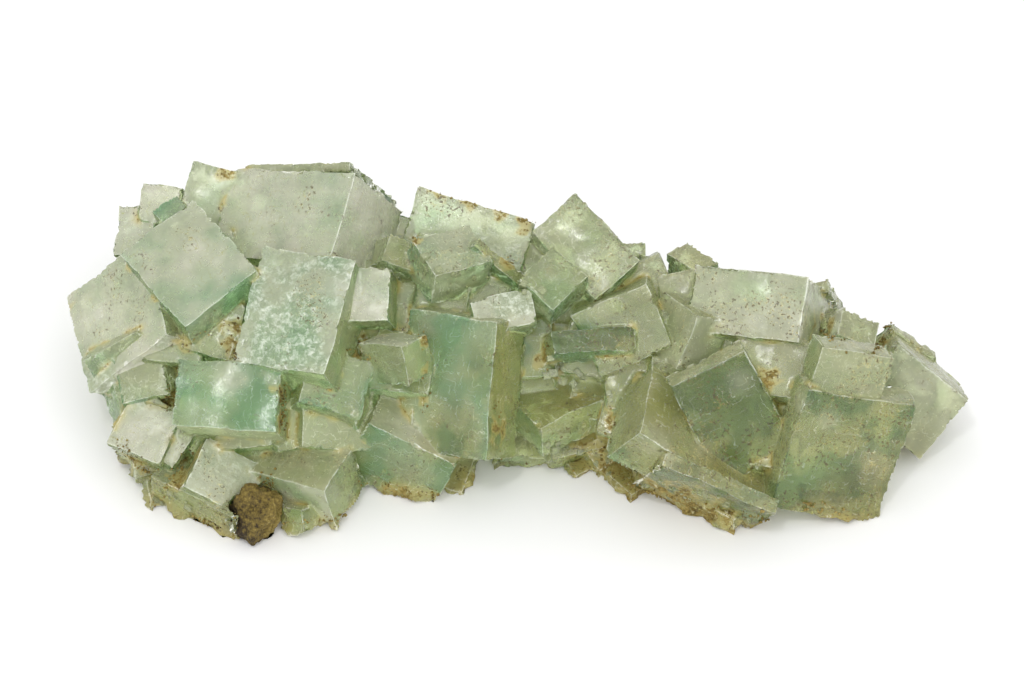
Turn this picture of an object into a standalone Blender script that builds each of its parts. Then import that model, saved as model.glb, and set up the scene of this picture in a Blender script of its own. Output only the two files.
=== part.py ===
"""Halite crystal cluster: one solid of intergrown cubes on a flat cut, with a lump of matrix at its foot.

Every crystal is set out from one station that looks down on the front of the cluster. A row gives where its
nearest corner shows on the station's grid, how far it stands proud of the middle of the cluster, and the
bearing and shown length of the three edges that leave the corner. The true directions and lengths of the
edges follow from that, because the three edges of a crystal are square to each other.
"""

import math
import random
from dataclasses import dataclass

import bmesh
import bpy
import numpy as np
from mathutils import Euler, Vector, noise

# The station's grid: one step is 0.2 mm on the plane of sight, 850 mm off. The rim rests on the ground line.
GRID = 0.0002
GRID_CENTRE = (512.0, 339.0)
GROUND_LINE = 530.0
SIGHT_TILT = math.radians(45.0)
SIGHT_DISTANCE = 0.85

# Crystals, in metres.
LONGEST_EDGE = 0.034
LEAST_SHARE = 0.25
CORE_UNDER_FORM = 0.012
CORE_BELOW_CUT = 0.004
FILLER_SIDE = (0.0095, 0.0135)
FILLER_UNDER_FORM = 0.016
BACK_SIDE = (0.012, 0.016)
BACK_FULL_HEIGHT = 0.026
FILLER_TURN = 0.5
BACK_TURN = 3.0

# The lump of matrix, in metres.
LUMP_PLACE = (257.0, 513.0)
LUMP_NEAR = 0.002
LUMP_RADII = (0.0054, 0.0050, 0.0056)
LUMP_KNOBS = 0.0009
LUMP_KNOB_SIZE = 0.0035
LUMP_GAP = 0.0004

CRYSTAL_COLOUR = (0.60, 0.68, 0.53, 1.0)
CRYSTAL_ROUGHNESS = 0.28
MATRIX_COLOUR = (0.19, 0.12, 0.05, 1.0)
MATRIX_ROUGHNESS = 0.85

Edge = tuple[float, float]


@dataclass(frozen=True)
class Crystal:
    """One cubic crystal: its nearest corner, how far that stands forward (mm) and its three edges."""

    name: str
    across: float
    down: float
    near: float
    edges: tuple[Edge, Edge, Edge]


CRYSTALS = (
    Crystal("left_tip", 168, 335, 7.0, ((107, 102), (214, 101), (-20, 25))),
    Crystal("left_lower", 137, 331, 2.6, ((209, 64), (307, 66), (75, 20))),
    Crystal("left_step_a", 160, 464, 4.5, ((68, 52), (160, 58), (290, 20))),
    Crystal("left_step_b", 172, 468, 3.5, ((55, 48), (146, 76), (285, 20))),
    Crystal("corner_block", 184, 487, 7.5, ((65.3, 55), (-28.8, 66), (205, 46))),
    Crystal("upper_left_a", 178, 225, -15.0, ((83, 40), (173.5, 42), (-50, 14))),
    Crystal("upper_left_b", 150, 255, -14.0, ((85, 50), (178, 38), (-45, 14))),
    Crystal("teal_step", 223, 292, 4.0, ((37.6, 32), (133.5, 112), (-68, 18))),
    Crystal("face_on", 184, 327, 10.0, ((37.6, 92), (133.5, 101), (-68, 36))),
    Crystal("under_strip", 229, 362, 5.0, ((72, 60), (163, 50), (300, 12))),
    Crystal("under_face", 202, 364, 4.0, ((85, 34), (176, 60), (300, 12))),
    Crystal("left_fill", 168, 395, 2.5, ((98, 62), (190, 50), (-40, 20))),
    Crystal("top_left", 250, 262, -12.0, ((74.6, 86), (165, 85), (-60, 15))),
    Crystal("bright_edge", 330, 262, 6.0, ((75.4, 93), (176.5, 126), (-37, 60))),
    Crystal("rough_face", 325, 375, 17.0, ((76, 118), (172, 94), (300, 30))),
    Crystal("shoulder", 388, 322, 9.0, ((88, 55), (179, 50), (310, 20))),
    Crystal("square_face", 276, 432, 15.5, ((85, 66), (176.4, 104), (300, 20))),
    Crystal("olive_block", 324, 492, 10.0, ((58, 52), (165, 92), (-74, 40))),
    Crystal("left_of_centre", 300, 402, 11.0, ((75, 60), (-19, 62), (205, 25))),
    Crystal("inner_a", 352, 416, 8.0, ((62, 60), (160, 50), (285, 20))),
    Crystal("inner_b", 400, 346, 12.0, ((25, 30), (176, 42), (280, 40))),
    Crystal("inner_c", 428, 396, 6.0, ((80, 60), (172, 60), (300, 20))),
    Crystal("step_block", 367, 422, 6.0, ((-26, 100), (68.7, 46), (239, 60))),
    Crystal("centre_face", 498, 321, 12.0, ((171.5, 90), (264.5, 140), (4, 30))),
    Crystal("small_olive", 383, 262, 2.0, ((78, 30), (-18, 38), (200, 15))),
    Crystal("apex", 436, 277, 7.5, ((16.5, 60), (124.4, 46), (255, 30))),
    Crystal("olive_strip", 474, 246, 2.5, ((-42, 82), (60, 12), (200, 20))),
    Crystal("back_white", 519, 275, -6.0, ((72.5, 56), (162.5, 124), (300, 15))),
    Crystal("white_face", 478, 335, 9.5, ((103, 35), (11, 60), (240, 15))),
    Crystal("peak", 595, 300, 2.0, ((133, 95), (41.6, 60), (270, 20))),
    Crystal("under_peak", 553, 312, 8.0, ((45, 50), (138, 48), (268, 15))),
    Crystal("knob", 645, 258, -10.0, ((92, 18), (183, 38), (300, 8))),
    Crystal("back_lump", 699, 274, -9.0, ((29, 25), (145, 38), (267, 20))),
    Crystal("pale_back", 718, 318, 0.0, ((100, 54), (192, 54), (320, 12))),
    Crystal("roof_back", 659, 253, -3.5, ((206, 98), (293, 70), (74, 8))),
    Crystal("roof", 645, 283, 6.0, ((70, 20), (204, 80), (-65, 68))),
    Crystal("dark_band", 553, 355, 8.5, ((4, 84), (96, 24), (235, 12))),
    Crystal("little_block", 541, 357, 10.0, ((88, 22), (179, 22), (300, 8))),
    Crystal("ledge", 540, 428, 5.0, ((24, 90), (138, 42), (-86, 30))),
    Crystal("low_green", 502, 458, -6.0, ((92, 74), (-2, 50), (225, 12))),
    Crystal("low_olive", 552, 460, -6.0, ((12, 55), (104, 40), (235, 12))),
    Crystal("lens", 699, 315, 7.5, ((146, 43), (-13, 34), (-112, 58))),
    Crystal("green_cube", 746, 350, 13.5, ((207, 84), (299, 112), (107, 12))),
    Crystal("long_cube", 640, 433, 15.0, ((-30.5, 158), (77.5, 70), (217, 42))),
    Crystal("long_step", 662, 465, 15.0, ((-24, 124), (70, 16), (220, 36))),
    Crystal("top_right", 799, 343, 8.5, ((82, 67), (173.6, 112), (-28, 48))),
    Crystal("pink_block", 838, 333, 2.0, ((78, 27), (-24, 42), (205, 15))),
    Crystal("right_tip", 900, 345, -2.0, ((-38, 93), (229, 75), (102, 20))),
    Crystal("right_upper", 822, 347, 17.5, ((-8.5, 76), (253, 50), (120, 16))),
    Crystal("right_rough", 809, 389, 15.5, ((-8.5, 112), (253, 126), (120, 20))),
    Crystal("right_inner", 784, 470, 5.0, ((75, 90), (168, 50), (300, 20))),
    Crystal("beside_cube", 806, 400, 8.0, ((82, 60), (173, 76), (300, 15))),
    Crystal("rim_right", 742, 508, 1.5, ((20, 60), (112, 50), (240, 20))),
    Crystal("rim_ledge", 735, 520, 3.5, ((155, 112), (268, 34), (42, 30))),
    Crystal("rim_centre", 600, 472, -7.0, ((35, 60), (128, 40), (260, 20))),
    Crystal("rim_middle", 400, 480, -4.0, ((20, 50), (112, 40), (240, 20))),
    Crystal("foot", 462, 494, -6.0, ((70, 50), (165, 60), (290, 10))),
    Crystal("rim_centre_b", 577, 476, -9.0, ((20, 45), (128, 40), (255, 10))),
    Crystal("rim_centre_c", 632, 495, -4.0, ((30, 40), (140, 50), (265, 12))),
    Crystal("rim_middle_b", 505, 463, -9.5, ((10, 60), (105, 30), (235, 8))),
    Crystal("under_olive", 303, 510, 6.0, ((170, 40), (25, 45), (275, 24))),
    Crystal("crest_a", 350, 171, -9.0, ((88, 10), (181, 110), (-39, 66))),
    Crystal("crest_b", 830, 292, -8.0, ((98, 14), (190, 100), (-45, 40))),
    Crystal("crest_c", 893, 327, -10.0, ((98, 8), (225, 60), (-35, 60))),
    Crystal("rim_tip", 120, 415, 0.0, ((105, 40), (5, 40), (235, 20))),
    Crystal("rim_left", 150, 507, -3.5, ((98, 45), (2, 60), (225, 10))),
    Crystal("sandy_foot", 136, 479, -3.0, ((108, 42), (15, 34), (240, 8))),
    Crystal("rim_left_b", 236, 519, 7.5, ((155, 96), (270, 40), (52, 30))),
)


def along(knots, at):
    """The value at `at` on the polyline of (place, value) knots."""
    return float(np.interp(at, [k[0] for k in knots], [k[1] for k in knots]))


RIM = (
    (65, 305), (75, 322), (86, 375), (100, 396), (112, 420), (125, 452), (145, 500), (160, 510), (200, 527),
    (250, 537), (300, 528), (340, 520), (357, 486), (410, 488), (440, 499), (475, 478), (500, 462), (540, 464),
    (600, 476), (640, 499), (690, 520), (740, 530), (800, 508), (850, 525), (885, 520), (900, 470), (930, 442),
    (969, 410),
)
CREST = (
    (65, 285), (95, 266), (118, 205), (150, 178), (191, 160), (240, 163), (300, 167), (350, 159), (405, 203),
    (420, 186), (480, 205), (535, 224), (575, 190), (640, 240), (700, 245), (760, 268), (820, 278), (850, 310),
    (900, 322), (930, 350), (969, 398),
)
HEIGHT = (
    (65, 14), (100, 22), (150, 33), (250, 40), (400, 40), (550, 38), (700, 34), (800, 31), (880, 26), (930, 20),
    (969, 13),
)
LOAF = ((0, 0.04), (0.12, 0.33), (0.3, 0.64), (0.5, 0.87), (0.7, 0.98), (0.85, 0.97), (1.0, 0.86))


def loaf_depth(across, down):
    """How far the rounded form stands towards the station at this place on the grid, in metres."""
    rim = along(RIM, across)
    crest = along(CREST, across)
    share = min(max((rim - down) / (rim - crest), 0.0), 1.0)
    height = along(HEIGHT, across) * along(LOAF, share) / 1000
    up = (GROUND_LINE - down) * GRID
    return (height - up * math.cos(SIGHT_TILT)) / math.sin(SIGHT_TILT)


def place(across, down, depth):
    """The point that shows at this place on the grid, this far towards the station."""
    scale = 1 - depth / SIGHT_DISTANCE
    x = (across - GRID_CENTRE[0]) * GRID * scale
    up = (GRID_CENTRE[1] - down) * GRID * scale + (GROUND_LINE - GRID_CENTRE[1]) * GRID
    return Vector((
        x,
        up * math.sin(SIGHT_TILT) - depth * math.cos(SIGHT_TILT),
        up * math.cos(SIGHT_TILT) + depth * math.sin(SIGHT_TILT),
    ))


def true_edges(edges):
    """The three edges of a crystal as vectors, from their bearings and shown lengths."""
    bearings = [math.radians(bearing) for bearing, _ in edges]
    flat = np.array([(math.cos(b), math.sin(b)) for b in bearings])
    rows = np.array([flat[:, 0] ** 2, flat[:, 1] ** 2, flat[:, 0] * flat[:, 1]])
    shares = np.linalg.solve(rows, np.array([1.0, 1.0, 0.0]))
    shares = np.sqrt(np.clip(shares, 0.02, 0.999))
    axes = np.column_stack([flat * shares[:, None], -np.sqrt(1 - shares**2)])
    left, _, right = np.linalg.svd(axes)
    axes = left @ right
    right_way = Vector((1, 0, 0))
    up_way = Vector((0, math.sin(SIGHT_TILT), math.cos(SIGHT_TILT)))
    near_way = Vector((0, -math.cos(SIGHT_TILT), math.sin(SIGHT_TILT)))
    vectors = []
    for axis, (_, shown) in zip(axes, edges):
        direction = right_way * axis[0] + up_way * axis[1] + near_way * axis[2]
        share = max(math.hypot(axis[0], axis[1]), LEAST_SHARE)
        length = min(shown * GRID / share, LONGEST_EDGE)
        vectors.append(direction * length)
    return vectors


def box_mesh(name, corner, sides):
    """A closed box from one corner and its three side vectors."""
    points = []
    for i in (0, 1):
        for j in (0, 1):
            for k in (0, 1):
                points.append(corner + sides[0] * i + sides[1] * j + sides[2] * k)
    faces = [(0, 1, 3, 2), (4, 6, 7, 5), (0, 4, 5, 1), (2, 3, 7, 6), (0, 2, 6, 4), (1, 5, 7, 3)]
    if sides[0].cross(sides[1]).dot(sides[2]) < 0:
        faces = [tuple(reversed(face)) for face in faces]
    mesh = bpy.data.meshes.new(name)
    mesh.from_pydata([tuple(p) for p in points], [], faces)
    mesh.update()
    return mesh


def between(limits, chance):
    """A length between these two, by chance."""
    return limits[0] + (limits[1] - limits[0]) * chance.random()


def filler_rows(chance):
    """Lesser crystals that fill the gaps between the measured ones, and more that close the back."""
    boxes = []
    for across in range(176, 850, 38):
        for share in (0.3, 0.46, 0.62, 0.76):
            rim = along(RIM, across)
            crest = along(CREST, across)
            down = rim + (crest - rim) * share
            middle = place(across, down, loaf_depth(across, down) - FILLER_UNDER_FORM)
            boxes.append((middle, between(FILLER_SIDE, chance), FILLER_TURN))
    for across in range(180, 850, 40):
        crest = along(CREST, across)
        top = place(across, crest, loaf_depth(across, crest))
        side = between(BACK_SIDE, chance) * min(1, top.z / BACK_FULL_HEIGHT)
        boxes.append((top + Vector((0, -0.003, -0.018)), side, BACK_TURN))
        boxes.append((Vector((top.x + 0.004, top.y - 0.005, 0.006)), side, BACK_TURN))
    return boxes


def filler_object(number, middle, side, turn, chance, collection):
    """A cube of this side about this middle, turned by chance."""
    turns = [turn * (chance.random() - 0.5) for _ in range(3)]
    frame = Euler((SIGHT_TILT + turns[0], turns[1], turns[2])).to_matrix()
    sides = [frame.col[i] * side * (0.85 + 0.3 * chance.random()) for i in range(3)]
    corner = middle - (sides[0] + sides[1] + sides[2]) / 2
    name = f"filler_{number:03d}"
    return operand(name, box_mesh(name, corner, sides), collection)


def crystal_object(row, collection):
    """The crystal of this row as an operand of the union."""
    corner = place(row.across, row.down, row.near / 1000)
    return operand(row.name, box_mesh(row.name, corner, true_edges(row.edges)), collection)


def operand(name, mesh, collection):
    """An object that only a Boolean reads."""
    obj = bpy.data.objects.new(name, mesh)
    obj.hide_render = True
    obj.display_type = "WIRE"
    collection.objects.link(obj)
    return obj


def core_mesh():
    """The grown-together middle of the cluster, a lower copy of its rounded form."""
    stations = (100, 125, 150, 200, 260, 320, 380, 440, 500, 560, 620, 680, 740, 800, 860, 900, 925)
    shares = (0.06, 0.25, 0.5, 0.7, 0.85)
    rings = []
    for across in stations:
        rim = along(RIM, across)
        crest = along(CREST, across)
        ring = []
        for share in shares:
            down = rim + (crest - rim) * share
            depth = loaf_depth(across, down) - CORE_UNDER_FORM
            ring.append(place(across, down, depth))
        front = ring[0]
        back = ring[-1]
        x = front.x
        ring.append(Vector((x, back.y + 0.001, CORE_BELOW_CUT)))
        ring.append(Vector((x, back.y - 0.002, -CORE_BELOW_CUT)))
        ring.append(Vector((x, front.y + 0.003, -CORE_BELOW_CUT)))
        for point in ring:
            point.x = x
        rings.append(ring)
    count = len(rings[0])
    points = [tuple(p) for ring in rings for p in ring]
    faces = []
    for i in range(len(rings) - 1):
        for j in range(count):
            a = i * count + j
            b = i * count + (j + 1) % count
            faces.append((a, a + count, b + count, b))
    faces.append(tuple(range(count)))
    last = (len(rings) - 1) * count
    faces.append(tuple(last + j for j in reversed(range(count))))
    mesh = bpy.data.meshes.new("core")
    mesh.from_pydata(points, [], faces)
    mesh.update()
    return mesh


def lump_mesh(name, grow):
    """The knobbly lump of matrix, with every radius longer by `grow`."""
    middle = place(*LUMP_PLACE, LUMP_NEAR)
    shape = bmesh.new()
    bmesh.ops.create_icosphere(shape, subdivisions=3, radius=1.0)
    for vert in shape.verts:
        way = vert.co.normalized()
        radii = Vector(LUMP_RADII)
        body = Vector((way.x * radii.x, way.y * radii.y, way.z * radii.z))
        knob = noise.noise(body / LUMP_KNOB_SIZE) * LUMP_KNOBS
        vert.co = middle + body + way * (knob + grow)
    mesh = bpy.data.meshes.new(name)
    shape.to_mesh(mesh)
    shape.free()
    return mesh


def volume_of(mesh):
    """The volume that a closed mesh holds."""
    shape = bmesh.new()
    shape.from_mesh(mesh)
    volume = shape.calc_volume()
    shape.free()
    return volume


def combined(target, tool, operation, solver):
    """The mesh of one Boolean of the target with the tool."""
    step = target.modifiers.new("step", "BOOLEAN")
    step.object = tool
    step.operation = operation
    step.solver = solver
    graph = bpy.context.evaluated_depsgraph_get()
    mesh = bpy.data.meshes.new_from_object(target.evaluated_get(graph))
    target.modifiers.remove(step)
    return mesh


def combine(target, tool, operation):
    """Joins the tool to the target, or cuts it away, and removes the tool.

    A union can't make the solid smaller, so where the exact solver does, the other one takes that step.
    """
    mesh = combined(target, tool, operation, "EXACT")
    if operation == "UNION" and volume_of(mesh) < volume_of(target.data):
        mesh = combined(target, tool, operation, "MANIFOLD")
    target.data = mesh
    bpy.data.objects.remove(tool)


def shells_of(shape):
    """The faces in groups that hang together by their edges."""
    left = set(shape.faces)
    shells = []
    while left:
        shell = [left.pop()]
        for face in shell:
            for edge in face.edges:
                for other in edge.link_faces:
                    if other in left:
                        left.remove(other)
                        shell.append(other)
        shells.append(shell)
    return shells


def keep_main_shell(mesh):
    """Fills any hollow sealed in between the crystals, and drops any chip that a cut has left loose."""
    shape = bmesh.new()
    shape.from_mesh(mesh)
    shells = shells_of(shape)
    main_shell = max(shells, key=lambda shell: sum(shell_share(face) for face in shell))
    others = [face for shell in shells if shell is not main_shell for face in shell]
    bmesh.ops.delete(shape, geom=others, context="FACES")
    shape.to_mesh(mesh)
    shape.free()


def shell_share(face):
    """Six times the volume between this face and the origin, negative where the face looks inwards."""
    first = face.verts[0].co
    corners = [vert.co for vert in face.verts]
    return sum(first.dot(a.cross(b)) for a, b in zip(corners[1:], corners[2:]))


def ground_block(collection):
    """A block whose top is the plane of the flat cut."""
    mesh = bpy.data.meshes.new("ground")
    shape = bmesh.new()
    bmesh.ops.create_cube(shape, size=1.0)
    bmesh.ops.scale(shape, vec=(0.4, 0.4, 0.1), verts=shape.verts)
    bmesh.ops.translate(shape, vec=(0, 0.03, -0.05), verts=shape.verts)
    shape.to_mesh(mesh)
    shape.free()
    return operand("ground", mesh, collection)


def material(name, colour, roughness):
    """A plain Principled material."""
    made = bpy.data.materials.new(name)
    made.use_nodes = True
    shader = made.node_tree.nodes["Principled BSDF"]
    shader.inputs["Base Color"].default_value = colour
    shader.inputs["Roughness"].default_value = roughness
    shader.inputs["Metallic"].default_value = 0.0
    return made


def dress(obj, made):
    """Gives the whole object one material."""
    obj.data.materials.clear()
    obj.data.materials.append(made)
    for face in obj.data.polygons:
        face.material_index = 0
        face.use_smooth = False


def centre(objects):
    """Moves the meshes together so that the middle of the box round them stands over the origin."""
    points = [vert.co for obj in objects for vert in obj.data.vertices]
    x = (min(p.x for p in points) + max(p.x for p in points)) / 2
    y = (min(p.y for p in points) + max(p.y for p in points)) / 2
    for obj in objects:
        for vert in obj.data.vertices:
            vert.co -= Vector((x, y, 0))


def main():
    for obj in list(bpy.data.objects):
        bpy.data.objects.remove(obj)
    scene = bpy.context.scene.collection
    cluster = bpy.data.objects.new("crystal_cluster", core_mesh())
    lump = bpy.data.objects.new("matrix_lump", lump_mesh("matrix_lump", 0.0))
    scene.objects.link(cluster)
    scene.objects.link(lump)
    for row in CRYSTALS:
        combine(cluster, crystal_object(row, scene), "UNION")
    chance = random.Random(11)
    for number, (middle, side, turn) in enumerate(filler_rows(chance)):
        combine(cluster, filler_object(number, middle, side, turn, chance, scene), "UNION")
    keep_main_shell(cluster.data)
    combine(cluster, operand("socket", lump_mesh("socket", LUMP_GAP), scene), "DIFFERENCE")
    for obj in (cluster, lump):
        combine(obj, ground_block(scene), "DIFFERENCE")
        keep_main_shell(obj.data)
    dress(cluster, material("crystal", CRYSTAL_COLOUR, CRYSTAL_ROUGHNESS))
    dress(lump, material("matrix", MATRIX_COLOUR, MATRIX_ROUGHNESS))
    centre((cluster, lump))


main()
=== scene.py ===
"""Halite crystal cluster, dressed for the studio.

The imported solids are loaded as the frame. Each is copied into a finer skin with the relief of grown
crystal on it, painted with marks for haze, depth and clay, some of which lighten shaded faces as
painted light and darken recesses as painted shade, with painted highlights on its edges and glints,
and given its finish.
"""

import logging
import math
from dataclasses import dataclass
from enum import Enum
from typing import Any, Iterable

import bmesh
import bpy
import numpy as np
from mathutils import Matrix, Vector, noise
from mathutils.bvhtree import BVHTree
from mathutils.kdtree import KDTree


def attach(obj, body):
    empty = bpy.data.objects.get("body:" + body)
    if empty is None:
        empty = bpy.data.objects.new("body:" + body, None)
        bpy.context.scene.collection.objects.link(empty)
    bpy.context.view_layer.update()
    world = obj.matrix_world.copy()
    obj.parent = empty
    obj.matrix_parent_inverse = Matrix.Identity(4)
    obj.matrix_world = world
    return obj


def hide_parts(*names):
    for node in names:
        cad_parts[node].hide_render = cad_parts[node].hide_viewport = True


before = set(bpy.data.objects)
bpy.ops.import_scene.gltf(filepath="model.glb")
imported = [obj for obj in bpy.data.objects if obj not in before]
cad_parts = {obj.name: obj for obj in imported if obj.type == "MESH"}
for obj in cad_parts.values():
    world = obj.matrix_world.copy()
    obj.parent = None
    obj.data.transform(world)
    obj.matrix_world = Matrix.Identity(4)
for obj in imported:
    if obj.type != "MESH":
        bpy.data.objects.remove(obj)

LOG = logging.getLogger("halite")
MM = 0.001
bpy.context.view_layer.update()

GRAIN = "grain"
SWAY_SEED = 4
GROUND = 1e-5

Colour = tuple[float, float, float]
Array = np.ndarray


def srgb(red: int, green: int, blue: int) -> Colour:
    """A colour as light, from its eight-bit values.

    Args:
        red: the red value, 0 to 255.
        green: the green value, 0 to 255.
        blue: the blue value, 0 to 255.

    Returns:
        The three linear values.
    """
    def one(value: int) -> float:
        """One channel made linear."""
        part = value / 255
        return part / 12.92 if part <= 0.04045 else ((part + 0.055) / 1.055) ** 2.4

    return (one(red), one(green), one(blue))


def ramp(value: Array, low: float, high: float) -> Array:
    """A smooth step from 0 at `low` to 1 at `high`.

    Args:
        value: the numbers to map.
        low: where the step starts.
        high: where it ends, which may be below `low`.

    Returns:
        The stepped numbers.
    """
    share = np.clip((value - low) / (high - low), 0, 1)
    return share * share * (3 - 2 * share)


def cloud(points: Array, size: float, seed: float, octaves: int = 1) -> Array:
    """Smooth noise at each point.

    Args:
        points: the places, one row each.
        size: the width of its waves, in the points' unit.
        seed: shifts the pattern.
        octaves: how many finer copies are added.

    Returns:
        One number for each point, about -1 to 1.
    """
    shift = Vector((seed, seed * 1.7, seed * 2.3))
    values = []
    for point in points / size:
        place = Vector(point) + shift
        if octaves > 1:
            values.append(noise.fractal(place, 0.9, 2.1, octaves))
        else:
            values.append(noise.noise(place))
    return np.array(values)


@dataclass(frozen=True)
class Waves:
    """Smooth noise over a piece: the width of its waves in mm, its pattern and how fine it goes."""

    size: float
    seed: float
    octaves: int = 1

    def at(self, points: Array) -> Array:
        """The noise at these points, which are in metres."""
        return cloud(points / MM, self.size, self.seed, self.octaves)


def sway(points: Array, size: float, reach: float) -> Array:
    """The points moved a little by smooth noise, so that no edge is quite straight.

    Args:
        points: the points, in metres.
        size: the width of the waves in mm.
        reach: how far a point may move, in mm.

    Returns:
        The moved points.
    """
    noise.seed_set(SWAY_SEED)
    ways = [noise.noise_vector(Vector(point)) for point in points / (size * MM)]
    return points + np.array([tuple(way) for way in ways]) * (reach * MM)


class Mark(Enum):
    """What is painted on the skin of the crystals."""

    # HAZE is the crystal's whitish frost, also laid on some shaded faces as painted light.
    HAZE = "haze"
    # DEEP is the teal depth of the body, also laid in recesses as painted shade.
    DEEP = "deep"
    OLIVE = "olive"
    CLAY = "clay"
    # EDGE is where a painted highlight lies along outer edges.
    EDGE = "edge"
    GLINT = "glint"
    VEIL = "veil"
    DIRT = "dirt"


@dataclass(frozen=True)
class Stroke:
    """A soft touch of a mark: where it shows on the station's grid, its reach in mm and how much it adds."""

    across: float
    down: float
    reach: float
    amount: float


@dataclass(frozen=True)
class Tone:
    """How much of each pigment lies on a whole flat, the one that shows at this place on the grid."""

    across: float
    down: float
    haze: float = 0.0
    deep: float = 0.0
    olive: float = 0.0
    glint: float = 0.0

    def share(self, mark: Mark) -> float:
        """The amount of one mark."""
        return getattr(self, mark.value)


@dataclass(frozen=True)
class Station:
    """The place the cluster is looked at from, with the grid that its crystals were set out on."""

    step: float = 0.0002
    middle: tuple[float, float] = (512.0, 339.0)
    ground_line: float = 530.0
    tilt: float = math.radians(45)
    distance: float = 0.85
    shift: tuple[float, float] = (0.0007476, 0.038697)

    def spot(self, across: float, down: float, near: float = 0.0) -> Vector:
        """The point that shows at a place on the grid.

        Args:
            across: the place across the grid.
            down: the place down it.
            near: how far it stands towards the station, in metres.

        Returns:
            The point, in the row frame.
        """
        scale = 1 - near / self.distance
        x = (across - self.middle[0]) * self.step * scale
        up = (self.middle[1] - down) * self.step * scale + (self.ground_line - self.middle[1]) * self.step
        return Vector((
            x - self.shift[0],
            up * math.sin(self.tilt) - near * math.cos(self.tilt) - self.shift[1],
            up * math.cos(self.tilt) + near * math.sin(self.tilt),
        ))

    def landing(self, across: float, down: float, tree: BVHTree) -> tuple[Any, Any, Any, Any]:
        """Where the line of sight through a place on the grid meets a solid.

        Args:
            across: the place across the grid.
            down: the place down it.
            tree: the solid.

        Returns:
            The point, its normal, its triangle and its distance, each None where nothing is met.
        """
        eye = self.eye()
        return tree.ray_cast(eye, (self.spot(across, down) - eye).normalized())

    def eye(self) -> Vector:
        """Where the lens stands."""
        return self.spot(*self.middle) + self.towards() * self.distance

    def towards(self) -> Vector:
        """The way from the cluster to the lens."""
        return Vector((0, -math.cos(self.tilt), math.sin(self.tilt)))


class Wire:
    """One socket of a shader, with sums written as Python."""

    def __init__(self, sheet: "Sheet", socket: Any) -> None:
        """Keeps the socket and the sheet it is on."""
        self.sheet = sheet
        self.socket = socket

    def _math(self, operation: str, *values: Any) -> "Wire":
        """A Math node on these values."""
        made = self.sheet.node("ShaderNodeMath", {"operation": operation}, dict(enumerate(values)))
        return made["Value"]

    def __add__(self, other: Any) -> "Wire":
        """The sum."""
        return self._math("ADD", self, other)

    __radd__ = __add__

    def __sub__(self, other: Any) -> "Wire":
        """The difference."""
        return self._math("SUBTRACT", self, other)

    def __rsub__(self, other: Any) -> "Wire":
        """The difference, the other way."""
        return self._math("SUBTRACT", other, self)

    def __mul__(self, other: Any) -> "Wire":
        """The product."""
        return self._math("MULTIPLY", self, other)

    __rmul__ = __mul__

    def __pow__(self, other: Any) -> "Wire":
        """The power."""
        return self._math("POWER", self, other)

    def over(self, low: float, high: float) -> "Wire":
        """A smooth step from 0 at `low` to 1 at `high`.

        Args:
            low: where the step starts.
            high: where it ends, which may be below `low`.

        Returns:
            The stepped value.
        """
        flip = low > high
        step = self.sheet.node(
            "ShaderNodeMapRange",
            {"interpolation_type": "SMOOTHSTEP"},
            {"Value": self, "From Min": min(low, high), "From Max": max(low, high)},
        )["Result"]
        return 1 - step if flip else step

    def held(self) -> "Wire":
        """The value kept between 0 and 1."""
        return self.sheet.node("ShaderNodeClamp", {}, {"Value": self})["Result"]


class Made:
    """A node that has been placed, whose outputs are read by name."""

    def __init__(self, sheet: "Sheet", node: Any) -> None:
        """Keeps the node and its sheet."""
        self.sheet = sheet
        self.node = node

    def __getitem__(self, name: str) -> Wire:
        """The output of that name."""
        return Wire(self.sheet, self.node.outputs[name])


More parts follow.
